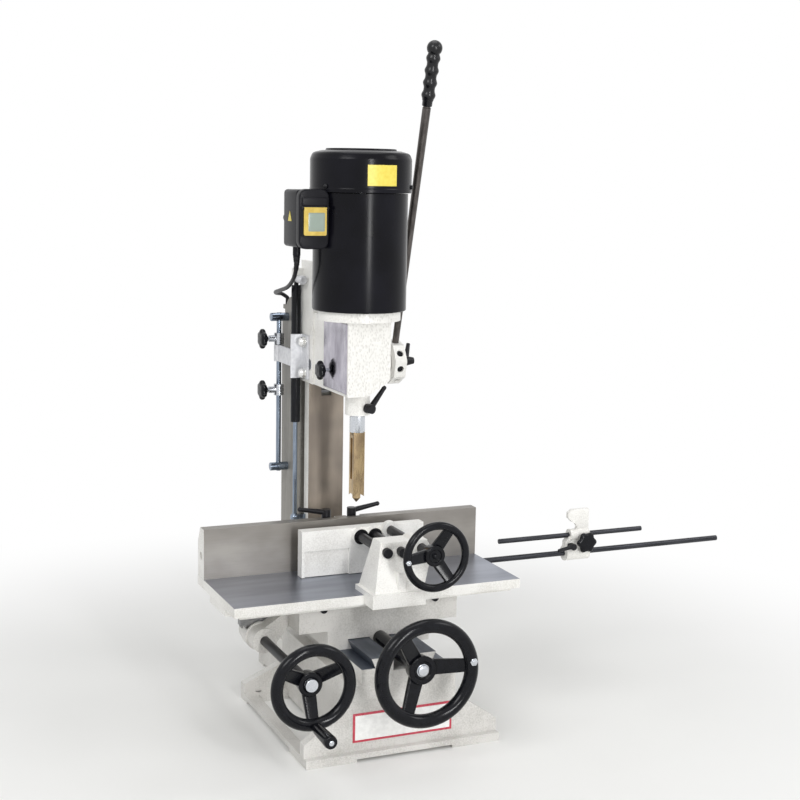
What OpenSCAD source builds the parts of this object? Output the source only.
// Benchtop mortiser: a cast base with cross slides, a column with a sliding head,
// a vertical motor over a square hollow chisel, and a rack lever.
// The origin is on the bench, straight below the chisel. +X is the operator's right,
// +Y runs back to the column and +Z is up.

/* [Base casting] */
// Width over the feet
base_w = 337; // [320:1:350]
// Distance from the chisel axis to the front lip
base_front = 225; // [220:1:240]
// Height of the foot pads and the side rails
foot_h = 14; // [10:1:18]
// Depth of the front foot pads
front_pad_l = 81; // [60:1:90]
// Width of each foot pad
pad_w = 85; // [60:1:88]
// Front edge of the rear foot pads
rear_pad_y = 79; // [70:1:85]
// Depth of the rear foot pads
rear_pad_l = 35; // [30:1:40]
// Lift of the casting between the pads
arch_h = 5; // [4:0.5:8]
// Set-back of the front wall from the lip
wall_back = 12; // [8:1:16]
// Thickness of the front and rear walls
wall_t = 18; // [12:1:22]
// Width of the side rails
rail_w = 20; // [14:1:26]
// Height of the wings at their outer ends
wing_end_h = 35; // [28:1:45]
// Height at which the front wings meet the box
wing_box_h = 88; // [60:1:100]
// Height at which the rear wings meet the box
rear_wing_h = 57; // [45:1:70]
// Width of the box under the ways
box_w = 184; // [170:1:200]
// Height of the box
box_h = 122; // [115:1:128]
// Wall of the box
box_wall = 12; // [8:1:16]
// Radius of the bench bolt holes
bench_hole_r = 5.5; // [4:0.25:7]
// Distance between the left and right bench bolts
bench_pitch_x = 284; // [270:1:300]
// Distance between the front and rear bench bolts
bench_pitch_y = 281; // [270:1:285]
// Width of the rear extension that carries the column
tail_w = 160; // [145:1:180]
// Back end of the rear extension
tail_back = 285; // [282:1:310]
// Height of the rear extension
tail_h = 52; // [44:1:60]

/* [Ways and saddle] */
// Width of the way block
way_w = 145; // [130:1:160]
// Height of the ways above the bench
way_z = 147; // [140:1:152]
// Half width of the base dovetail at its foot
dove_foot = 49; // [44:1:54]
// Half width of the base dovetail at its top
dove_top = 56; // [55:1:60]
// Height of the base dovetail
dove_h = 16; // [12:1:20]
// Half width of the slot for the cross feed screw
slot_half = 18; // [17:0.5:22]
// Front face of the saddle
saddle_front = -111; // [-118:1:-104]
// Rear face of the saddle
saddle_back = 60; // [50:1:66]
// Width of the upper block of the saddle
saddle_w = 282; // [260:2:300]
// Height of the underside of the upper block
saddle_mid = 181; // [178:1:186]
// Height of the top of the saddle
saddle_top = 229; // [225:1:232]
// Thickness of the gib strips
gib_t = 5; // [3:0.5:7]

/* [Table and fence] */
// Left end of the table
table_left = -264.5; // [-280:0.5:-250]
// Length of the table
table_l = 500; // [470:1:540]
// Front edge of the table
table_front = -158; // [-170:1:-150]
// Back edge of the table
table_back = 50; // [48:1:60]
// Height of the table top
table_z = 251; // [249:1:254]
// Thickness of the table plate
table_t = 16; // [12:1:18]
// Height of the table dovetail
table_dove_h = 18; // [14:1:20]
// Front face of the fence, against the work
fence_y = 13; // [10:1:16]
// Thickness of the fence
fence_t = 35; // [32:1:37]
// Height of the fence
fence_h = 85; // [70:1:100]
// Radius of the end bore in the fence
fence_bore_r = 6.5; // [4:0.5:8]

/* [Vise] */
// Width of the jaw
jaw_w = 221; // [200:1:240]
// Thickness of the jaw
jaw_t = 20; // [16:1:22]
// Front face of the jaw
jaw_front = -36; // [-38:1:-34]
// Height of the jaw
jaw_h = 79; // [76:1:84]
// Height of the guide rods
guide_z = 318; // [314:1:320]
// Radius of the guide rods
guide_r = 8; // [6:0.5:9]
// Left guide rod position
guide_x1 = -10; // [-14:1:-6]
// Right guide rod position
guide_x2 = 15; // [12:1:18]
// Screw position
vise_x = 45.5; // [42:0.5:50]
// Screw height
vise_z = 324; // [318:1:326]
// Plane of the vise wheel
vise_wheel_y = -229; // [-240:1:-222]
// Radius of the vise wheel at the middle of its rim
vise_wheel_r = 50.6; // [45:0.2:56]

/* [Hand wheels] */
// Height of the two feed shafts
feed_z = 161.5; // [160:0.5:163]
// Plane of the cross feed wheel
cross_wheel_y = -301; // [-310:1:-295]
// Radius of the cross feed wheel at the middle of its rim
cross_wheel_r = 76; // [68:1:84]
// Position of the table feed shaft
feed_x = -184; // [-190:1:-180]
// Plane of the table feed wheel
feed_wheel_y = -297; // [-305:1:-290]
// Radius of the table feed wheel at the middle of its rim
feed_wheel_r = 58; // [50:1:64]
// Radius of the feed screw and the feed shaft
screw_r = 8; // [6:0.5:9]
// Module of the table feed rack
feed_module = 2; // [1.5:0.25:2]

/* [Column] */
// Front face of the column ways
column_y = 149; // [149:0.5:152]
// Half width of the column ways
column_way = 33; // [30:0.5:35]
// Thickness of the column ways
column_way_t = 22; // [18:1:24]
// Half width of the column casting
column_half = 45; // [41:1:50]
// Back of the column casting
column_back = 270; // [262:1:276]
// Top of the column casting
column_top = 700; // [690:1:706]
// Top of the column ways
ways_top = 721; // [712:1:726]
// Thickness of the column foot
column_foot_t = 22; // [16:1:26]
// Module of the column rack
lift_module = 2.5; // [2:0.25:2.5]
// Teeth of the lever pinion
lift_teeth = 20; // [20:1:21]

/* [Head] */
// Front face of the head
head_front = -49; // [-54:1:-46]
// Half width of the head
head_half = 38; // [36:1:40]
// Underside of the head
head_z = 555; // [550:1:560]
// Height of the head casting
head_h = 125; // [120:1:130]
// Outside of the head cheeks that wrap the column
cheek_half = 41; // [40:0.5:42]
// Top of the head slide
slide_top = 768; // [740:1:775]
// Radius of the nose
nose_r = 21; // [19:0.5:24]
// Lower end of the nose
nose_z = 518; // [512:1:522]
// Height of the lever shaft
lever_z = 588; // [586:0.5:592]
// Angle that the lever leans forward
lever_lean = 15.6; // [10:1:25]
// Length of the bare lever bar from the shaft axis
bar_l = 462; // [400:1:500]
// Length of the lever grip
grip_l = 109; // [100:1:140]

/* [Motor] */
// Radius of the motor shell
motor_r = 78.4; // [75:0.2:80]
// Lower end of the motor shell
motor_z = 695; // [690:1:700]
// Height of the motor shell
motor_h = 194; // [180:1:210]
// Radius of the fan cover
cover_r = 84.5; // [82:0.5:88]
// Height of the fan cover
cover_h = 71; // [60:1:80]
// Radius of the motor shaft
shaft_r = 9; // [8:0.5:10]
// Outer radius of the motor bearings
bearing_r = 17.5; // [16:0.5:20]

/* [Chisel] */
// Width of the square chisel
chisel_w = 20; // [16:0.5:20]
// Height of the chisel points
chisel_tip = 378; // [370:1:390]
// Radius of the drill bit
bit_r = 7; // [5:0.5:7]

/* [Depth stop] */
// Position of the depth rod to the left
stop_x = -62; // [-64:1:-61]
// Position of the depth rod to the back
stop_y = 230; // [226:1:236]
// Lower end of the stop arm
arm_z = 582; // [578:1:590]
// Height of the stop arm
arm_h = 30; // [24:1:36]
// Free travel down to the lower collar
stop_travel = 42; // [30:1:60]
// Height of the stop collars
collar_h = 20; // [16:1:24]

/* [Work stop] */
// Height of the long rod
long_rod_z = 240; // [239:0.5:241]
// Right end of the long rod
long_rod_end = 747; // [700:1:800]
// Height of the finger rod
finger_z = 273; // [270:1:278]
// Position of the bracket along the rod
bracket_x = 434; // [400:1:470]

/* [Fits] */
// Side clearance of slides
slide_gap = 0.15; // [0.1:0.05:0.3]
// Radial clearance of shafts that turn
run_gap = 0.06; // [0.03:0.01:0.08]
// Clearance of loose parts
loose_gap = 0.5; // [0.3:0.1:0.8]

/* [Hidden] */
$fn = 64;
base_back = rear_pad_y + rear_pad_l;
wall_y = -base_front + wall_back;
box_l = base_back - wall_y;
bench_y = -44;
bolt_rows = [142, 264];
bolt_x = 58;
table_right = table_left + table_l;
fence_top = table_z + fence_h;
gib_x = dove_foot + slide_gap;
cross_stub = 14;
table_dove_y = -25;
table_dove_half = 38;
table_dove_flare = 7;
table_dove_z = saddle_top - table_dove_h;
feed_teeth = 16;
feed_r = feed_module * feed_teeth / 2;
feed_pitch_z = feed_z + feed_r;
rack_y = -25;
rack_t = 14;
rack_teeth_n = 30;
rack_x0 = feed_x - 5 * PI * feed_module;
rack_slot_end = rack_x0 + rack_teeth_n * PI * feed_module + 25;
lift_r = lift_module * lift_teeth / 2;
rack_pitch_y = column_y + 3;
lever_y = rack_pitch_y - lift_r;
lift_rack_n = 21;
lift_rack_z0 = lever_z - 7 * PI * lift_module;
hub_x = 107;
hub_w = 22;
hub_flat = 74;
bar_r = 6;
head_top = head_z + head_h;
motor_top = motor_z + motor_h;
cover_top = motor_top + cover_h;
motor_wall = 3;
neck_half = 24;
neck_back = 187;
keeper_t = 7;
strut_x = -51;
strut_y = 170;
strut_r = 8.5;
upper_collar_z = arm_z + arm_h + 1;
lower_collar_z = arm_z - stop_travel - collar_h;
depth_rod_r = 4.5;
cord_r = 3.5;
door_t = 3.6;
door_pin_x = -head_half + door_t / 2;
door_pin_y = head_front + 7.5;
door_back = 64;
door_z = head_z + 4.5;
door_h = head_h - 9;
switch_x = -121;
switch_w = 47;
switch_y = -40;
switch_l = 84;
switch_z = 798;
switch_h = 96;
bezel_x0 = switch_x + 2.5;
bezel_x1 = switch_x + switch_w + 1;
flap_z = 864;
gland_x = -106;
gland_y = 14;
cord_eye = [-30, 277, 684];
coil_r = 32;
coil_turns = 3;
coil_pitch = 7.6;
coil_x = 40;
coil_y = 372;
plug_lead = 24;

// Turns the Z axis of a shape to +X or +Y, and extrudes a front view along Y
module along_x() { rotate([0, 90, 0]) children(); }
module along_y() { rotate([-90, 0, 0]) children(); }
module front_view(y0, y1) { translate([0, y1, 0]) rotate([90, 0, 0]) linear_extrude(y1 - y0) children(); }
module side_view(x0, x1) {
    translate([x0, 0, 0]) rotate([90, 0, 90]) linear_extrude(x1 - x0) children();
}
module rod_x(x0, x1, y, z, r) { translate([x0, y, z]) along_x() cylinder(h = x1 - x0, r = r); }
module rod_y(x, y0, y1, z, r) { translate([x, y0, z]) along_y() cylinder(h = y1 - y0, r = r); }
module rod_z(x, y, z0, z1, r) { translate([x, y, z0]) cylinder(h = z1 - z0, r = r); }
module block(x0, x1, y0, y1, z0, z1) { translate([x0, y0, z0]) cube([x1 - x0, y1 - y0, z1 - z0]); }

// Straight-flanked gear teeth with backlash, sized by the module m
function rack_outline(n, m, back) = concat(
    [[0, back], [0, 1.2 * m]],
    [for (i = [0:n - 1]) each [for (p = [[-1.09, 1.2], [-0.37, -0.8], [0.37, -0.8], [1.09, 1.2]])
        [(i + 0.5) * PI * m + p[0] * m, p[1] * m]]],
    [[n * PI * m, 1.2 * m], [n * PI * m, back]]);
function gear_outline(n, m) = [for (i = [0:n - 1])
    each [for (p = [[-0.74, -1.2], [-0.62, 0], [-0.28, 0.8], [0.28, 0.8], [0.62, 0], [0.74, -1.2]])
        let (r = m * n / 2 + p[1] * m, a = 360 * i / n + p[0] / (n / 2) * 180 / PI)
            [r * cos(a), r * sin(a)]]];

// Star knob with its stem, standing on the XY plane
module star_knob(r, h, stem_r, stem_l) {
    rod_z(0, 0, -stem_l, 0.5, stem_r);
    cylinder(h = h, r = r * 0.76);
    translate([0, 0, -h * 0.35]) cylinder(h = h * 0.6, r = r * 0.46);
    for (i = [0:5]) rotate([0, 0, 60 * i]) translate([r * 0.7, 0, 0]) cylinder(h = h, r = r * 0.3, $fn = 24);
}

// Hand wheel with a dished rim, its axis along Y, the rim in the plane y = 0
module hand_wheel(rim_r, tube_r, hub_r, hub_l, dish, first_angle, bore_r, sleeve_r, sleeve_l) {
    difference() {
        union() {
            along_y() rotate_extrude($fn = 96) translate([rim_r, 0]) circle(tube_r, $fn = 32);
            translate([0, dish, 0]) along_y() cylinder(h = hub_l, r = hub_r);
            translate([0, dish + hub_l - 1, 0]) along_y() cylinder(h = sleeve_l + 1, r = sleeve_r);
            for (i = [0:2]) rotate([0, -first_angle - 120 * i, 0]) hull() {
                translate([hub_r - 4, dish + 2, -tube_r * 0.85]) cube([1, hub_l * 0.5, tube_r * 1.7]);
                translate([rim_r - 3, -tube_r * 0.45, -tube_r * 0.6]) cube([1, tube_r * 0.9, tube_r * 1.2]);
            }
        }
        translate([0, dish - 1, 0]) along_y() cylinder(h = hub_l + sleeve_l + 2, r = bore_r);
    }
}

// A tube swept along points, used for the free cord
function unit(v) = v / norm(v);
function turn(p, i) = unit(p[min(i + 1, len(p) - 1)] - p[max(i - 1, 0)]);
function ring_side(t, s) = unit(s - t * (s * t));
function sides(p, i, s) = i == len(p) ? [] :
    let (t = turn(p, i), n = ring_side(t, s)) concat([n], sides(p, i + 1, n));
module swept_tube(p, r, n, start_side) {
    side_list = sides(p, 0, start_side);
    points = [for (i = [0:len(p) - 1]) let (t = turn(p, i), a = side_list[i], b = cross(t, a))
        for (k = [0:n - 1]) p[i] + r * (a * cos(360 * k / n) + b * sin(360 * k / n))];
    last = (len(p) - 1) * n;
    skin = [for (i = [0:len(p) - 2]) for (k = [0:n - 1]) let (q = (k + 1) % n)
        each [[i * n + k, (i + 1) * n + q, i * n + q], [i * n + k, (i + 1) * n + k, (i + 1) * n + q]]];
    polyhedron(points, concat(skin, [[for (k = [0:n - 1]) k]], [[for (k = [n - 1:-1:0]) last + k]]));
}
// Smooth curve through the route's own points, three steps to a span
function spline(p, i, t) = let (a = p[max(i - 1, 0)], b = p[i], c = p[i + 1], d = p[min(i + 2, len(p) - 1)])
    0.5 * (2 * b + (c - a) * t + (2 * a - 5 * b + 4 * c - d) * t * t + (3 * b - a - 3 * c + d) * t * t * t);
function smooth(p, steps) = concat(
    [for (i = [0:len(p) - 2]) for (k = [0:steps - 1]) spline(p, i, k / steps)], [p[len(p) - 1]]);

// Cord from the switch box to the eye at the back of the column
drop_route = [[gland_x, gland_y, switch_z - 14], [gland_x, gland_y, 777], [gland_x, gland_y, 770],
    [-103, 34, 748], [-94, 90, 728], [-84, 160, 716], [-72, 220, 708], [-56, 262, 702], [-40, 279, 699],
    cord_eye + [0, 0, 8], cord_eye + [0, 0, 4], cord_eye];
run_route = [cord_eye, cord_eye - [0, 0, 8], cord_eye - [0, 0, 16], cord_eye - [0, 0, 32], [-29, 281, 600],
    [-26, 286, 520], [-24, 288, 400], [-24, 288, 250], [-24, 289, 110], [-24, 294, 62], [-28, 304, 34],
    [-34, 320, 15], [-30, 336, 12], [-16, 352, 11.5], [4, 362, 11], [20, 362, 7], [38, 350, 3.6],
    [60, 352, 3.6], [70, 361, 3.6], [coil_x + coil_r, coil_y - 3, 3.6], [coil_x + coil_r, coil_y, 3.6]];

module base_casting() {
    color("#e9e8e3") difference() {
        union() {
            // Lip, side rails and foot pads
            difference() {
                block(-base_w / 2, base_w / 2, -base_front, base_back, arch_h, foot_h);
                block(-base_w / 2 + rail_w, base_w / 2 - rail_w, wall_y, base_back - wall_t, arch_h - 1, foot_h + 1);
            }
            for (s = [-1, 1]) {
                block(min(s * base_w / 2, s * (base_w / 2 - pad_w)), max(s * base_w / 2, s * (base_w / 2 - pad_w)),
                    -base_front, -base_front + front_pad_l, 0, foot_h);
                block(min(s * base_w / 2, s * (base_w / 2 - pad_w)), max(s * base_w / 2, s * (base_w / 2 - pad_w)),
                    rear_pad_y, base_back, 0, foot_h);
            }
            // Front and rear walls with their wings
            front_view(wall_y, wall_y + wall_t) polygon([[-base_w / 2, arch_h], [base_w / 2, arch_h],
                [base_w / 2, wing_end_h], [box_w / 2, wing_box_h], [box_w / 2, box_h], [-box_w / 2, box_h],
                [-box_w / 2, wing_box_h], [-base_w / 2, wing_end_h]]);
            front_view(base_back - wall_t, base_back) polygon([[-base_w / 2, arch_h], [base_w / 2, arch_h],
                [base_w / 2, wing_end_h - 5], [box_w / 2 + 15, rear_wing_h], [box_w / 2, rear_wing_h + 8],
                [-box_w / 2, rear_wing_h + 8], [-box_w / 2 - 15, rear_wing_h], [-base_w / 2, wing_end_h - 5]]);
            // Box and its cross web, which stands on the bench
            block(-box_w / 2, box_w / 2, wall_y, base_back, arch_h, box_h);
            block(-box_w / 2, box_w / 2, -8, 8, 0, arch_h + 1);
            // Way block with the male dovetail
            block(-way_w / 2, way_w / 2, wall_y, base_back, box_h - 1, way_z);
            front_view(wall_y, base_back) polygon([[-dove_foot, way_z - 1], [-dove_foot, way_z],
                [-dove_top, way_z + dove_h], [dove_top, way_z + dove_h], [dove_foot, way_z], [dove_foot, way_z - 1]]);
            // Rear extension under the column
            block(-tail_w / 2, tail_w / 2, base_back - 1, tail_back, arch_h, tail_h);
            block(-tail_w / 2, tail_w / 2, tail_back - 30, tail_back, 0, foot_h);
        }
        // Hollow of the box, open to the bench in front of and behind the web
        block(-box_w / 2 + box_wall, box_w / 2 - box_wall, wall_y + wall_t, -8, -1, box_h - box_wall);
        block(-box_w / 2 + box_wall, box_w / 2 - box_wall, 8, base_back - wall_t, -1, box_h - box_wall);
        // Hollow of the rear extension
        block(-tail_w / 2 + box_wall, tail_w / 2 - box_wall, base_back + 4, tail_back - 30, -1, tail_h - box_wall);
        // Slot for the cross feed screw and its nut
        block(-slot_half, slot_half, wall_y - 1, base_back + 1, way_z - 7, way_z + dove_h + 1);
        // Column bolt holes and bench bolt holes
        for (sx = [-1, 1]) for (y = bolt_rows) rod_z(sx * bolt_x, y, tail_h - box_wall - 1, tail_h + 1, 5.4);
        for (sx = [-1, 1]) for (sy = [-1, 1])
            rod_z(sx * bench_pitch_x / 2, bench_y + sy * bench_pitch_y / 2, -1, foot_h + 1, bench_hole_r);
    }
}

module column() {
    color("#c9c6bf") {
        // Foot, casting with a rounded top, and the ways
        translate([0, 0, tail_h]) linear_extrude(column_foot_t) difference() {
            translate([-70, 128]) square([140, 150]);
            for (sx = [-1, 1]) for (y = bolt_rows) translate([sx * bolt_x, y]) circle(5.5);
        }
        intersection() {
            translate([0, 0, tail_h + column_foot_t - 1]) linear_extrude(ways_top - tail_h) polygon([
                [-column_way, column_y], [column_way, column_y], [column_way, column_y + column_way_t],
                [neck_half, column_y + column_way_t], [neck_half, neck_back],
                [column_half - 9, neck_back], [column_half, neck_back + 12], [column_half, column_back - 8],
                [column_half - 8, column_back], [-column_half + 8, column_back], [-column_half, column_back - 8],
                [-column_half, neck_back + 12], [-column_half + 9, neck_back], [-neck_half, neck_back],
                [-neck_half, column_y + column_way_t], [-column_way, column_y + column_way_t]]);
            difference() {
                union() {
                    block(-100, 100, column_y - 1, neck_back, 0, ways_top);
                    block(-100, 100, neck_back - 1, column_back + 1, 0, column_top - 40);
                    rod_x(-100, 100, neck_back + 20, column_top - 40, 40);
                }
                block(-9.5, 9.5, column_y - 1, column_y + 8, lift_rack_z0 - 5, ways_top + 1);
                rod_x(-100, -column_half + 18, stop_y, 662, 5);
                rod_x(-100, -column_half + 18, stop_y, 388, 5);
            }
        }
        // Eye that holds the cord at the back of the column
        difference() {
            union() {
                block(cord_eye[0] - 6, cord_eye[0] + 6, column_back - 8, column_back + 2.9, cord_eye[2] - 44, cord_eye[2] - 4);
                block(cord_eye[0] - 6, cord_eye[0] + 6, column_back + 2, cord_eye[1] + 6, cord_eye[2] - 12, cord_eye[2] - 4);
            }
            rod_z(cord_eye[0], cord_eye[1], cord_eye[2] - 13, cord_eye[2] - 3, cord_r + 0.3);
        }
    }
}

module column_rack() {
    color("#8e8e8c") side_view(-9, 9) polygon([for (q = rack_outline(lift_rack_n, lift_module, 5))
        [rack_pitch_y + q[1], lift_rack_z0 + q[0]]]);
}

module column_bolts() {
    color("#9a9a98") for (sx = [-1, 1]) for (y = bolt_rows) {
        rod_z(sx * bolt_x, y, tail_h - box_wall, tail_h + column_foot_t + 1, 5.3);
        translate([sx * bolt_x, y, tail_h + column_foot_t]) cylinder(h = 8, r = 9.8, $fn = 6);
    }
}

module depth_rod() {
    color("#a9b2bd") {
        rod_z(stop_x, stop_y, 380, 670, depth_rod_r);
        for (z = [388, 662]) {
            rod_x(stop_x - 16, -column_half, stop_y, z, 7.5);
            rod_x(-column_half - 1, -column_half + 17, stop_y, z, 4.95);
        }
    }
}

module strut_rod() {
    color("#b9bcc0") {
        rod_z(strut_x, strut_y, 305, 600, 4);
        rod_z(strut_x, strut_y, 592, 600, 6.85);
        translate([strut_x, strut_y, 305]) sphere(8);
        block(strut_x, -column_way, 162, 170, 299, 311);
    }
}

module cross_feed_nut() {
    color("#b08d4f") difference() {
        block(-15, 15, -41, -15, way_z - 7, feed_z + 13);
        rod_y(0, -42, -14, feed_z, screw_r + 0.3);
    }
}

module cord_drop() {
    color("#1b1b1d") swept_tube(smooth(drop_route, 3), cord_r, 8, [1, 0, 0]);
}

module cord_run() {
    color("#1b1b1d") swept_tube(smooth(run_route, 4), cord_r, 8, [1, 0, 0]);
}

// The coil winds outward from the run's end, which crosses over it, and stays flat on the bench
coil_points = [for (k = [0:24 * coil_turns]) let (a = 15 * k, r = coil_r + coil_pitch * k / 24)
    [coil_x + r * cos(a), coil_y + r * sin(a), 3.6]];
echo(coil_gap = min([for (i = [0:len(coil_points) - 1]) for (j = [i + 12:1:len(coil_points) - 1])
    norm(coil_points[i] - coil_points[j])]) - 2 * cord_r);
module cord_coil() {
    last = coil_points[len(coil_points) - 1];
    color("#1b1b1d") swept_tube(concat(coil_points, [last + [0, 8, 0], last + [0, plug_lead, 0]]), cord_r, 6, [0, 0, 1]);
}

module plug() {
    x = coil_x + coil_r + coil_pitch * coil_turns;
    y = coil_y + plug_lead;
    color("#1b1b1d") {
        rod_y(x, y, y + 14, 3.6, cord_r);
        rod_y(x, y + 12, y + 46, 13, 13);
        color("#c8c8c4") for (s = [-1, 1]) rod_y(x + s * 9.5, y + 46, y + 65, 13, 2.4);
    }
}

module head_casting() {
    color("#eceae6") difference() {
        union() {
            front_view(head_front, 118) polygon([[-head_half, head_z], [-3, head_z], [head_half - 9, head_z + 19],
                [head_half, head_z + 27], [head_half, head_top], [-head_half, head_top]]);
            block(-cheek_half, cheek_half, 112, column_y + column_way_t + slide_gap, head_z, slide_top);
            rod_z(0, 0, nose_z, head_z + 1, nose_r);
            rod_z(0, 0, head_top - 1, motor_z, 69.5);
            rod_x(cheek_half - 2, hub_x - 1, lever_y, lever_z, 21);
            block(strut_x - 8, -cheek_half + 1, strut_y - 12, column_y + column_way_t, 740, 754);
        }
        // Room for the column ways between the cheeks
        block(-column_way - slide_gap, column_way + slide_gap, column_y - slide_gap, 200, head_z - 1, slide_top + 1);
        // Chuck chamber, open to the left behind the door
        block(-head_half - 1, 28, -37, 26, 572, 668);
        block(-head_half - 1, -head_half + door_t + 0.4, door_pin_y - 3.8, door_back + 0.5, door_z - 0.4,
            door_z + door_h + 0.4);
        rod_z(door_pin_x, door_pin_y, door_z - 0.4, door_z + door_h + 0.4, 4.1);
        rod_z(door_pin_x, door_pin_y, door_z - 4, door_z + door_h + 3.6, 2 + run_gap);
        rod_x(-head_half, -head_half + 18, 45, 589, 4);
        // Bores for the motor nose, the chisel shank, its clamp screw and the lever shaft
        rod_z(0, 0, 660, motor_z + 1, 26);
        rod_z(0, 0, nose_z - 1, 573, 11.05);
        translate([0, 0, 531]) rotate([0, 0, -68]) rod_x(8, 30, 0, 0, 4 + run_gap);
        rod_x(-cheek_half - 1, hub_x, lever_y, lever_z, 10 + run_gap);
        block(-13, 13, lever_y - lift_r - 4, column_y + 1, lever_z - lift_r - 4, lever_z + lift_r + 4);
        block(-26, 26, 38, 94, head_z - 1, 650);
    }
}

module keeper_strips() {
    color("#8f8f8c") for (s = [-1, 1]) {
        x0 = s > 0 ? neck_half + 1 : -cheek_half;
        block(x0, x0 + cheek_half - neck_half - 1, column_y + column_way_t + slide_gap,
            column_y + column_way_t + slide_gap + keeper_t, head_z + 5, slide_top - 20);
    }
}

module stop_arm() {
    color("#dfe0e2") difference() {
        union() {
            block(-cheek_half - 4, -cheek_half, 126, 157, 561, 639);
            block(stop_x - 4, -cheek_half, 153, 157, 561, 639);
            block(stop_x - 4, stop_x + 0.5, 153, stop_y, arm_z, arm_z + arm_h);
            rod_z(stop_x, stop_y, arm_z, arm_z + arm_h, 9);
        }
        rod_z(stop_x, stop_y, arm_z - 1, arm_z + arm_h + 1, depth_rod_r + loose_gap);
    }
}

module head_fasteners() {
    color("#e4e4e2") for (z = [571, 626]) {
        rod_x(-cheek_half - 6, -cheek_half - 4, 140, z, 9.8);
        rod_x(-cheek_half - 12.5, -cheek_half - 5.5, 140, z, 9);
        translate([-cheek_half - 12, 140, z]) rotate([0, -90, 0]) cylinder(h = 4, r1 = 9, r2 = 4.5);
    }
    color("#3a3a3c") cover_screw_places() rod_x(cover_r - 5, cover_r + 3, 0, motor_top + 10, 3.5);
}

module cover_screw_places() { for (a = [-153.4, -33.4, 86.6]) rotate([0, 0, a]) children(); }

module strut_cylinder() {
    color("#1d1d1f") difference() {
        union() {
            rod_z(strut_x, strut_y, 480, 724, strut_r);
            rod_z(strut_x, strut_y, 718, 731, 4);
            block(strut_x - 6, strut_x + 6, strut_y - 13, strut_y + 6, 730, 740);
            rod_y(strut_x, 133, strut_y - 12.5, 735, 6.8);
        }
        rod_z(strut_x, strut_y, 479, 489, 4.3);
        rod_z(strut_x, strut_y, 488, 700, 7);
    }
}

module motor_shell() {
    color("#17171c") difference() {
        rod_z(0, 0, motor_z, motor_top, motor_r);
        difference() {
            rod_z(0, 0, motor_z + 8, motor_top - 9, motor_r - motor_wall);
            rod_z(0, 0, motor_z + 7, motor_z + 21, bearing_r + 5);
            rod_z(0, 0, motor_top - 21, motor_top - 8, bearing_r + 5);
        }
        rod_z(0, 0, motor_z - 1, motor_top + 1, bearing_r - 4);
        rod_z(0, 0, motor_z + 9, motor_z + 22, bearing_r + 0.02);
        rod_z(0, 0, motor_top - 22, motor_top - 9, bearing_r + 0.02);
    }
}

module stator() {
    color("#a8562f") difference() {
        union() {
            rod_z(0, 0, motor_z + 40, motor_top - 40, motor_r - motor_wall - 0.02);
            rod_z(0, 0, motor_z + 28, motor_top - 28, 68);
        }
        rod_z(0, 0, motor_z, motor_top, 46);
    }
}

module motor_bearings() {
    color("#b7babd") for (z = [motor_z + 9.5, motor_top - 20.5]) difference() {
        rod_z(0, 0, z, z + 11, bearing_r);
        rod_z(0, 0, z - 1, z + 12, shaft_r + run_gap);
    }
}

module fan_cover() {
    color("#17171c") difference() {
        rotate_extrude($fn = 96) polygon([[72, motor_top], [cover_r, motor_top], [cover_r, cover_top - 8],
            [cover_r - 3, cover_top - 3], [cover_r - 9, cover_top], [0, cover_top], [0, cover_top - 3],
            [cover_r - 10, cover_top - 3], [cover_r - 3, cover_top - 9], [cover_r - 3, motor_top + 3],
            [72, motor_top + 3]]);
        for (i = [0:15]) rotate([0, 0, 22.5 * i]) block(26, 68, -2.6, 2.6, cover_top - 5, cover_top + 1);
        cover_screw_places() rod_x(cover_r - 6, cover_r + 4, 0, motor_top + 10, 3.55);
    }
}

module rounded_block(x0, x1, y0, y1, z0, z1, r) {
    block(x0 + r, x1 - r, y0, y1, z0, z1);
    block(x0, x1, y0 + r, y1 - r, z0, z1);
    for (x = [x0 + r, x1 - r]) for (y = [y0 + r, y1 - r]) rod_z(x, y, z0, z1, r);
}

module switch_box() {
    color("#202024") difference() {
        union() {
            rounded_block(switch_x, switch_x + switch_w + 20, switch_y, switch_y + switch_l, switch_z,
                switch_z + switch_h, 7);
            rod_z(gland_x, gland_y, switch_z - 14, switch_z + 1, 6.5);
            block(bezel_x0, bezel_x1, switch_y - 2.5, switch_y + 1, 817, 868);
            for (x = [bezel_x0, bezel_x1 - 3]) {
                rod_x(x, x + 3, switch_y - 5, flap_z, 3);
                block(x, x + 3, switch_y - 5, switch_y, flap_z - 3, flap_z + 3);
            }
        }
        rod_z(0, 0, switch_z - 20, motor_top, motor_r + 0.1);
        rod_z(0, 0, motor_top - 1, switch_z + switch_h + 1, cover_r + 0.1);
        block(bezel_x0 + 9, bezel_x1 - 9, switch_y - 4, switch_y + 18, 827, 859);
        rod_x(bezel_x0 + 1, bezel_x1 - 1, switch_y - 5, flap_z, 1.2 + run_gap);
    }
}

module chisel() {
    half = chisel_w / 2;
    color("#b9a98f") difference() {
        union() {
            rod_z(0, 0, 514, 560, 11);
            rod_z(0, 0, 488, 515, 13);
            block(-half, half, -half, half, chisel_tip, 489);
        }
        rod_z(0, 0, chisel_tip - 1, 561, bit_r + 0.4);
        block(-half - 4, -2, -4, 4, 407, 478);
        translate([0, 0, chisel_tip - 0.01]) cylinder(h = 7, r1 = half * 1.4, r2 = bit_r + 0.4);
    }
}

module rotor_shaft() {
    color("#9fa2a6") {
        rod_z(0, 0, 626, motor_top + 46, shaft_r);
        rod_z(0, 0, motor_z + 42, motor_top - 42, 45);
    }
}

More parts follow.
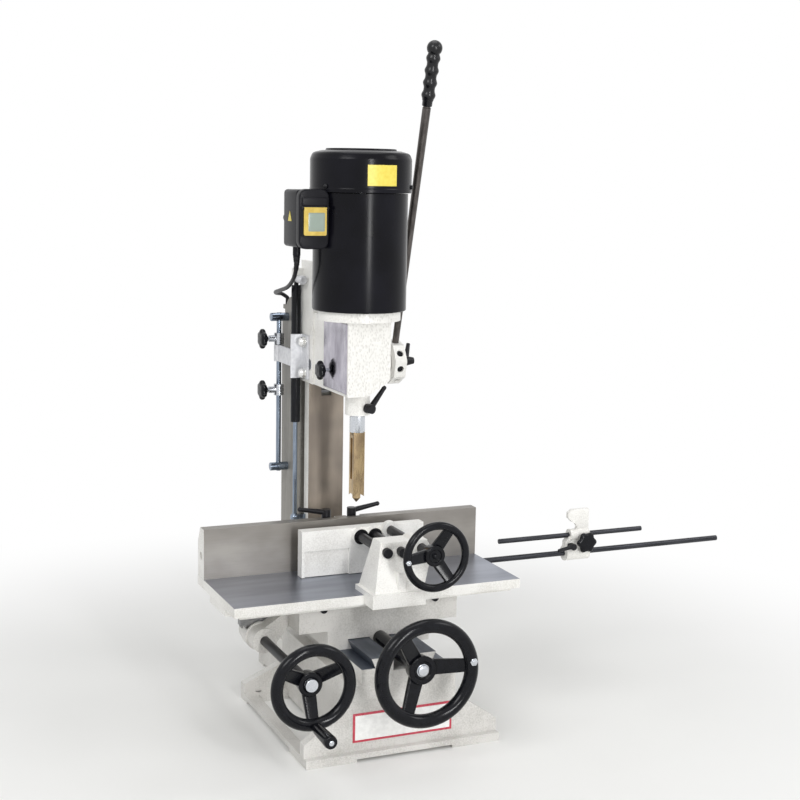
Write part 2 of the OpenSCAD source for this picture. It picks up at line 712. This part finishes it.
module fan() {
    color("#3b3b3e") difference() {
        union() {
            rod_z(0, 0, motor_top + 14, motor_top + 40, 15);
            rod_z(0, 0, motor_top + 14, motor_top + 17, 62);
            for (i = [0:7]) rotate([0, 0, 45 * i]) block(12, 62, -1.2, 1.2, motor_top + 15, motor_top + 38);
        }
        rod_z(0, 0, motor_top + 13, motor_top + 41, shaft_r + 0.02);
    }
}

module chuck() {
    color("#8b8d90") difference() {
        union() {
            rod_z(0, 0, 596, 642, 20);
            translate([0, 0, 586]) cylinder(h = 10.5, r1 = 12, r2 = 18);
        }
        rod_z(0, 0, 625, 643, shaft_r + 0.02);
        rod_z(0, 0, 585, 612, 6.02);
    }
}

module drill_bit() {
    color("#7d7f82") {
        rod_z(0, 0, 560, 611, 6);
        rod_z(0, 0, 374, 562, bit_r);
        translate([0, 0, 367]) cylinder(h = 7.2, r1 = 1, r2 = bit_r);
    }
}

module pinion_shaft() {
    color("#9fa2a6") difference() {
        union() {
            rod_x(-cheek_half + 1, hub_x + hub_w, lever_y, lever_z, 10);
            translate([0, lever_y, lever_z]) side_view(-9, 9) polygon(gear_outline(lift_teeth, lift_module));
        }
        rod_x(hub_x + hub_w - 15, hub_x + hub_w + 1, lever_y, lever_z, 4 + run_gap);
    }
}

module leaning() { translate([0, lever_y, lever_z]) rotate([lever_lean, 0, 0]) children(); }

module lever_hub() {
    mid = hub_x + hub_w / 2;
    color("#e9e8e4") leaning() difference() {
        translate([hub_x, 0, 0]) along_x() rotate([0, 0, 22.5])
            cylinder(h = hub_w, r = hub_flat / 2 / cos(22.5), $fn = 8);
        rod_x(hub_x - 1, hub_x + hub_w + 1, 0, 0, 10.02);
        for (a = [0, 45, 90, 135, 180]) rotate([a, 0, 0]) rod_z(mid, 0, 18, hub_flat, bar_r + 0.05);
    }
}

module lever_bar() {
    color("#26262a") leaning() {
        rod_z(hub_x + hub_w / 2, 0, 19, bar_l + 60, bar_r);
        translate([hub_x + hub_w / 2, 0, 38.5]) cylinder(h = bar_l - 40, r1 = bar_r, r2 = bar_r + 1.2);
    }
}

module lever_grip() {
    x = hub_x + hub_w / 2;
    color("#17171a") leaning() difference() {
        union() {
            rod_z(x, 0, bar_l, bar_l + 9, 8.6);
            rod_z(x, 0, bar_l + 8, bar_l + grip_l - 12, 9.6);
            for (i = [0:3]) translate([x, 0, bar_l + 10 + 20.3 * i]) {
                cylinder(h = 8.5, r1 = 9.6, r2 = 12);
                translate([0, 0, 8.5]) cylinder(h = 8.5, r1 = 12, r2 = 9.6);
            }
            translate([x, 0, bar_l + grip_l - 13]) sphere(13);
        }
        rod_z(x, 0, bar_l - 1, bar_l + 60.5, bar_r + 0.02);
    }
}

module hub_clamp_knob() {
    x = hub_x + hub_w + 0.4;
    color("#2a2a2e") translate([x, lever_y, lever_z]) {
        rod_x(-14, 1, 0, 0, 4);
        along_x() cylinder(h = 10, r = 8);
        translate([9, 0, 0]) along_x() cylinder(h = 19.5, r1 = 10, r2 = 6);
        translate([14, 0, 0]) rotate([-25, 20, 0]) cylinder(h = 34, r1 = 5, r2 = 3.5);
    }
}

module chuck_door() {
    color("#a9a7b0") difference() {
        union() {
            block(-head_half, -head_half + door_t, door_pin_y, door_back, door_z, door_z + door_h);
            rod_z(door_pin_x, door_pin_y, door_z, door_z + door_h, 3.6);
            rod_z(door_pin_x, door_pin_y, door_z - 3.5, door_z + door_h + 3.2, 2);
        }
        rod_x(-head_half - 1, -head_half + door_t + 1, 45, 589, 3 + run_gap);
    }
}

module door_knob() {
    color("#1c1c1f") translate([-head_half - 8, 45, 589]) rotate([0, -90, 0]) star_knob(16.5, 11, 3, 14);
}

module chisel_clamp() {
    color("#2a2a2e") translate([0, 0, 531]) rotate([0, 0, -68]) {
        rod_x(11.2, 25, 0, 0, 4);
        rod_x(22.5, 36, 0, 0, 8);
        translate([30, 0, 0]) rotate([-45, 0, 0]) {
            cylinder(h = 46, r1 = 5.5, r2 = 3.6);
            translate([0, 0, 46]) sphere(4);
        }
    }
}

module collar(z) {
    color("#c9ccd0") difference() {
        union() {
            rod_z(stop_x, stop_y, z, z + collar_h, 9);
            rod_x(stop_x - 19, stop_x - 5, stop_y, z + collar_h / 2, 6);
        }
        rod_z(stop_x, stop_y, z - 1, z + collar_h + 1, depth_rod_r + slide_gap);
        rod_x(stop_x - 20, stop_x, stop_y, z + collar_h / 2, 3.5 + run_gap);
    }
}
module collar_knob(z) {
    color("#1f2430") translate([stop_x - 26, stop_y, z + collar_h / 2]) rotate([0, -90, 0])
        star_knob(18, 11, 3.5, 20.5);
}
module upper_collar() { collar(upper_collar_z); }
module lower_collar() { collar(lower_collar_z); }
module upper_collar_knob() { collar_knob(upper_collar_z); }
module lower_collar_knob() { collar_knob(lower_collar_z); }

module saddle() {
    color("#dddcd8") difference() {
        union() {
            front_view(saddle_front, saddle_back) polygon([[-box_w / 2 + 2, way_z + slide_gap],
                [box_w / 2 - 2, way_z + slide_gap], [box_w / 2, saddle_mid], [saddle_w / 2, saddle_mid],
                [saddle_w / 2, saddle_top], [-saddle_w / 2, saddle_top], [-saddle_w / 2, saddle_mid],
                [-box_w / 2, saddle_mid]]);
        }
        // Dovetail cut with room for the gib on its right
        front_view(saddle_front - 1, saddle_back + 1) polygon([
            [-dove_foot - slide_gap, way_z - 1], [-dove_foot - slide_gap, way_z],
            [-dove_top - slide_gap, way_z + dove_h], [-dove_top - slide_gap, way_z + dove_h + 1],
            [dove_top + slide_gap + gib_t, way_z + dove_h + 1], [dove_top + slide_gap + gib_t, way_z + dove_h],
            [dove_foot + slide_gap + gib_t, way_z], [dove_foot + slide_gap + gib_t, way_z - 1]]);
        // Channel over the feed screw and its nut
        difference() {
            block(-slot_half - 2, slot_half + 2, saddle_front - 1, saddle_back + 1, way_z + dove_h, feed_z + 17);
            block(-slot_half - 3, slot_half + 3, saddle_front - 2, saddle_front + cross_stub, way_z, feed_z + 18);
        }
        // Table dovetail with room for the gib at its front
        side_view(-saddle_w / 2 - 1, saddle_w / 2 + 1) polygon([
            [table_dove_y - table_dove_half - slide_gap - gib_t, saddle_top + 1],
            [table_dove_y - table_dove_half - slide_gap - gib_t, saddle_top],
            [table_dove_y - table_dove_half - table_dove_flare - slide_gap - gib_t, table_dove_z - slide_gap],
            [table_dove_y + table_dove_half + table_dove_flare + slide_gap, table_dove_z - slide_gap],
            [table_dove_y + table_dove_half + slide_gap, saddle_top],
            [table_dove_y + table_dove_half + slide_gap, saddle_top + 1]]);
        // Slot for the table rack
        block(-saddle_w / 2 - 1, rack_slot_end, rack_y - rack_t / 2 - 2, rack_y + rack_t / 2 + 2,
            feed_pitch_z - 4, saddle_top);
        // Bores of the feed screw and the gib screws
        rod_y(0, saddle_front - 1, saddle_front + cross_stub + 1, feed_z, screw_r + run_gap);
        for (s = [-1, 1]) rod_y(s * 99.5, saddle_front - 1, table_dove_y - table_dove_half - 2, 219, 4.05);
    }
    // Tongue in the base slot that carries the cross feed screw
    color("#dddcd8") difference() {
        block(-slot_half + 1.5, slot_half - 1.5, saddle_front, saddle_front + cross_stub - 0.1, way_z - 6, way_z + dove_h + 1.2);
        rod_y(0, saddle_front - 1, saddle_front + cross_stub + 1, feed_z, screw_r + run_gap);
    }
}

module saddle_gib() {
    y0 = table_dove_y - table_dove_half - slide_gap;
    color("#8f8f8c") side_view(-saddle_w / 2 + 1, saddle_w / 2 - 1) polygon([
        [y0 - gib_t - 0.15, saddle_top - 0.5], [y0 - 0.3, saddle_top - 0.5],
        [y0 - table_dove_flare, table_dove_z + 0.1], [y0 - table_dove_flare - gib_t + 0.15, table_dove_z + 0.1]]);
    color("#1c1c1e") for (s = [-1, 1]) {
        rod_y(s * 99.5, saddle_front - 4, saddle_front, 219, 6);
        rod_y(s * 99.5, saddle_front - 1, y0 - gib_t - 3.6, 219, 4);
    }
}

module feed_bracket() {
    y0 = -66;
    y1 = 11;
    color("#e4e3df") difference() {
        union() {
            rod_y(feed_x, y0, y1, feed_z, 21);
            rod_y(feed_x, rack_y - 13, rack_y + 13, feed_z, 24);
            for (y = [[y0 + 6, rack_y - 9], [rack_y + 9, y1 - 3]])
                front_view(y[0], y[1]) polygon([[feed_x, feed_z - 12], [-saddle_w / 2 - 20, feed_z - 6],
                    [-saddle_w / 2, saddle_mid], [-saddle_w / 2, table_dove_z - 3], [feed_x, feed_z + 20]]);
            block(-saddle_w / 2 - 14, -saddle_w / 2, y0 + 6, y1 - 3, saddle_mid, table_dove_z - 3);
        }
        rod_y(feed_x, y0 - 1, y1 + 1, feed_z, screw_r + run_gap);
        rod_y(feed_x, rack_y - 9, rack_y + 9, feed_z, feed_r + 3.5);
        block(-300, -saddle_w / 2 + 1, rack_y - rack_t / 2 - 2, rack_y + rack_t / 2 + 2, feed_pitch_z - 4, saddle_top);
    }
}

module cross_wheel() {
    color("#15151a") {
        translate([0, cross_wheel_y, feed_z])
            hand_wheel(cross_wheel_r, 11, 23, 22, 14, 4, 0, 12, saddle_front - 0.3 - cross_wheel_y - 36);
        rod_y(0, saddle_front - 2, saddle_back + 2, feed_z, screw_r);
    }
    color("#d2d2d0") {
        rod_y(0, cross_wheel_y + 10, cross_wheel_y + 15, feed_z, 9);
        translate([cross_wheel_r * cos(10), cross_wheel_y - 13, feed_z + cross_wheel_r * sin(10)])
            along_y() cylinder(h = 6, r = 6.5, $fn = 6);
    }
}

module feed_wheel() {
    color("#15151a") translate([feed_x, feed_wheel_y, feed_z])
        hand_wheel(feed_wheel_r, 9.5, 19, 22, 12, 30, screw_r + 0.02, 12, 6);
    color("#d2d2d0") rod_y(feed_x, feed_wheel_y - 78, feed_wheel_y, feed_z - feed_wheel_r, 4);
    color("#d2d2d0") rod_y(feed_x, feed_wheel_y - 81, feed_wheel_y - 77, feed_z - feed_wheel_r, 7);
}

module feed_shaft() {
    color("#1a1a1d") {
        rod_y(feed_x, feed_wheel_y + 12, 12, feed_z, screw_r);
        rod_y(feed_x, 11.4, 20, feed_z, 12);
        translate([feed_x, 0, feed_z]) front_view(rack_y - 7, rack_y + 7) rotate(90)
            polygon(gear_outline(feed_teeth, feed_module));
    }
    color("#d2d2d0") rod_y(feed_x, feed_wheel_y + 7, feed_wheel_y + 12, feed_z, 10);
}

module crank_grip() {
    y0 = feed_wheel_y - 76.5;
    color("#15151a") translate([feed_x, 0, feed_z - feed_wheel_r]) difference() {
        union() {
            rod_y(0, y0, y0 + 66, 0, 9);
            translate([0, y0 + 34, 0]) along_y() cylinder(h = 31, r1 = 9.4, r2 = 7.5);
            translate([0, y0, 0]) along_y() cylinder(h = 34, r1 = 10.4, r2 = 9.4);
        }
        rod_y(0, y0 - 1, y0 + 67, 0, 4 + run_gap);
    }
}

module table() {
    color("#8d8d92") difference() {
        union() {
            block(table_left, table_right, table_front, table_back, table_z - table_t, table_z);
            block(table_left + 12, table_right - 12, table_front + 10, table_back - 10, saddle_top + slide_gap,
                table_z - table_t + 1);
            block(150, table_right, -14, 14, saddle_top + slide_gap, table_z - 1);
            side_view(table_left + 12, table_right - 12) polygon([
                [table_dove_y - table_dove_half, saddle_top + 1], [table_dove_y - table_dove_half, saddle_top],
                [table_dove_y - table_dove_half - table_dove_flare, table_dove_z],
                [table_dove_y + table_dove_half + table_dove_flare, table_dove_z],
                [table_dove_y + table_dove_half, saddle_top], [table_dove_y + table_dove_half, saddle_top + 1]]);
        }
        rod_x(170, table_right + 1, 0, long_rod_z, 5.02);
    }
}

module table_rack() {
    color("#8e8e8c") front_view(rack_y - rack_t / 2, rack_y + rack_t / 2) polygon([
        for (q = rack_outline(rack_teeth_n, feed_module, table_dove_z - feed_pitch_z))
            [rack_x0 + q[0], feed_pitch_z + q[1]]]);
}

module fence() {
    color("#a5a097") difference() {
        side_view(table_left, table_right) polygon([[fence_y, table_z], [fence_y + fence_t, table_z],
            [fence_y + fence_t, fence_top - 26], [fence_y + fence_t - 14, fence_top], [fence_y, fence_top]]);
        for (x = [[table_left + 26, -68], [28, table_right - 26]])
            block(x[0], x[1], fence_y + 12, fence_y + fence_t + 1, table_z + 18, fence_top - 14);
        for (x = [-40, 7]) {
            block(x - 13, x + 13, fence_y + 13, fence_y + fence_t + 1, table_z + 18, fence_top + 1);
            rod_z(x, fence_y + 26, table_z - 1, table_z + 19, 5 + run_gap);
        }
        rod_x(table_left - 1, table_left + 24, fence_y + 17, table_z + 37, fence_bore_r);
    }
}

module vise_body() {
    color("#efeeea") difference() {
        union() {
            block(-48, 44, -196, -120, table_z, table_z + 9);
            block(-48, 44, -196, table_front - 0.3, table_z - 14, table_z + 1);
            intersection() {
                front_view(-196, -120) polygon([[-42, table_z + 8], [-18, 334], [62, 334], [62, 300], [42, table_z + 8]]);
                side_view(-60, 80) polygon([[-190, table_z + 8], [-152, 334], [-120, 334], [-120, table_z + 8]]);
            }
            block(-16, 62, -158, -120, 290, 334);
            block(-2, 11, -190, -150, table_z + 8, 292);
            rod_y(vise_x, -172, -120, vise_z, 15);
        }
        rod_y(guide_x1, -200, -119, guide_z, guide_r + slide_gap);
        rod_y(guide_x2, -200, -119, guide_z, guide_r + slide_gap);
        rod_y(vise_x, -200, -119, vise_z, screw_r + 0.3);
    }
}

module vise_jaw() {
    jaw_z = table_z + 1;
    color("#f0efeb") difference() {
        union() {
            block(-jaw_w / 2, jaw_w / 2, jaw_front, jaw_front + jaw_t, jaw_z, jaw_z + jaw_h);
            for (x = [guide_x1, guide_x2]) rod_y(x, jaw_front - 14, jaw_front + 1, guide_z, 13);
            rod_y(vise_x, jaw_front - 10, jaw_front + 1, vise_z, 15);
        }
        block(-jaw_w / 2 + 5.5, -26, jaw_front - 1, jaw_front + 4, jaw_z - 1, jaw_z + 45);
        rod_y(vise_x, jaw_front - 11, jaw_front + 8.5, vise_z, screw_r + run_gap);
    }
    color("#232327") {
        rod_y(guide_x1, -166, jaw_front - 13, guide_z, guide_r);
        rod_y(guide_x2, -171, jaw_front - 13, guide_z, guide_r);
    }
}

module vise_wheel() {
    color("#15151a") {
        translate([vise_x, vise_wheel_y, vise_z])
            hand_wheel(vise_wheel_r, 6.4, 17, 20, 3, 62, 0, 11, 3);
        rod_y(vise_x, vise_wheel_y + 8, jaw_front + 8, vise_z, screw_r);
    }
    color("#c8c8c6") translate([vise_x - vise_wheel_r, vise_wheel_y - 8, vise_z - 4])
        along_y() cylinder(h = 4, r = 4.5, $fn = 6);
}

module fence_lever(x, side) {
    color("#1c1c1f") translate([x, fence_y + 26, 0]) {
        rod_z(0, 0, table_z + 1, fence_top + 3, 5);
        rod_z(0, 0, fence_top - 6, fence_top + 12, 8);
        translate([side * 3, 0, fence_top + 7]) rotate([0, side * 80, 0]) {
            cylinder(h = 46, r1 = 4.8, r2 = 3.6);
            translate([0, 0, 46]) sphere(4);
        }
    }
}
module fence_lever_left() { fence_lever(-40, -1); }
module fence_lever_right() { fence_lever(7, 1); }

module stop_long_rod() {
    color("#3a3c40") rod_x(172, long_rod_end, 0, long_rod_z, 5);
}

module stop_bracket() {
    color("#e6e5e1") difference() {
        union() {
            rod_x(bracket_x - 23, bracket_x + 25, 0, long_rod_z, 14);
            rod_x(bracket_x - 14, bracket_x + 25, 0, finger_z, 11);
            front_view(-6, 6) polygon([[bracket_x - 23, long_rod_z], [bracket_x - 23, finger_z - 11],
                [bracket_x - 14, finger_z], [bracket_x + 25, finger_z], [bracket_x + 25, long_rod_z]]);
            front_view(-4, 4) polygon([for (q = [[-9, 0], [25, 0], [25, 48], [-10, 48], [-18, 42], [-18, 33],
                [-10, 25], [-2, 21], [2, 15], [-2, 7]]) [bracket_x + q[0], finger_z + q[1]]]);
        }
        rod_x(bracket_x - 24, bracket_x + 26, 0, long_rod_z, 5 + slide_gap);
        rod_x(bracket_x - 24, bracket_x + 26, 0, finger_z, 4.5 + slide_gap);
        rod_y(bracket_x + 12, -9, 9, finger_z - 11, 3 + run_gap);
        rod_y(bracket_x - 16, -7, 7, finger_z - 17, 3 + run_gap);
    }
}

module stop_finger_rod() {
    color("#3a3c40") rod_x(276, 575, 0, finger_z, 4.5);
}

module stop_knob() {
    color("#1c1c1f") translate([bracket_x + 12, -17, finger_z - 11]) rotate([90, 0, 0])
        star_knob(20, 10, 3, 22);
}

module stop_lever() {
    color("#1c1c1f") translate([bracket_x - 16, 0, finger_z - 17]) {
        rod_y(0, -15, 5, 0, 3);
        rod_y(0, -25, -14.6, 0, 6);
        translate([0, -20, 0]) rotate([0, -100, 0]) cylinder(h = 30, r1 = 4, r2 = 3);
    }
}

module switch_rocker() {
    x0 = bezel_x0 + 10;
    x1 = bezel_x1 - 10;
    color("#2c8a4a") {
        rod_x(x0, x1, switch_y + 8, 843, 9.5);
        block(x0, x1, switch_y - 1.5, switch_y + 4, 831, 855);
    }
}

module switch_flap() {
    color("#d9c25a") {
        block(bezel_x0 + 3.4, bezel_x1 - 3.4, switch_y - 6, switch_y - 4.2, 820, flap_z);
        rod_x(bezel_x0 + 1.4, bezel_x1 - 1.4, switch_y - 5, flap_z, 1.2);
    }
}

base_casting();
column();
column_rack();
column_bolts();
depth_rod();
strut_rod();
cross_feed_nut();
cord_drop();
cord_run();
cord_coil();
plug();
head_casting();
keeper_strips();
stop_arm();
head_fasteners();
strut_cylinder();
motor_shell();
stator();
motor_bearings();
fan_cover();
switch_box();
chisel();
rotor_shaft();
fan();
chuck();
drill_bit();
pinion_shaft();
lever_hub();
lever_bar();
lever_grip();
hub_clamp_knob();
chuck_door();
door_knob();
chisel_clamp();
upper_collar();
lower_collar();
upper_collar_knob();
lower_collar_knob();
saddle();
saddle_gib();
feed_bracket();
cross_wheel();
feed_wheel();
feed_shaft();
crank_grip();
table();
table_rack();
fence();
vise_body();
vise_jaw();
vise_wheel();
fence_lever_left();
fence_lever_right();
stop_long_rod();
stop_bracket();
stop_finger_rod();
stop_knob();
stop_lever();
switch_rocker();
switch_flap();
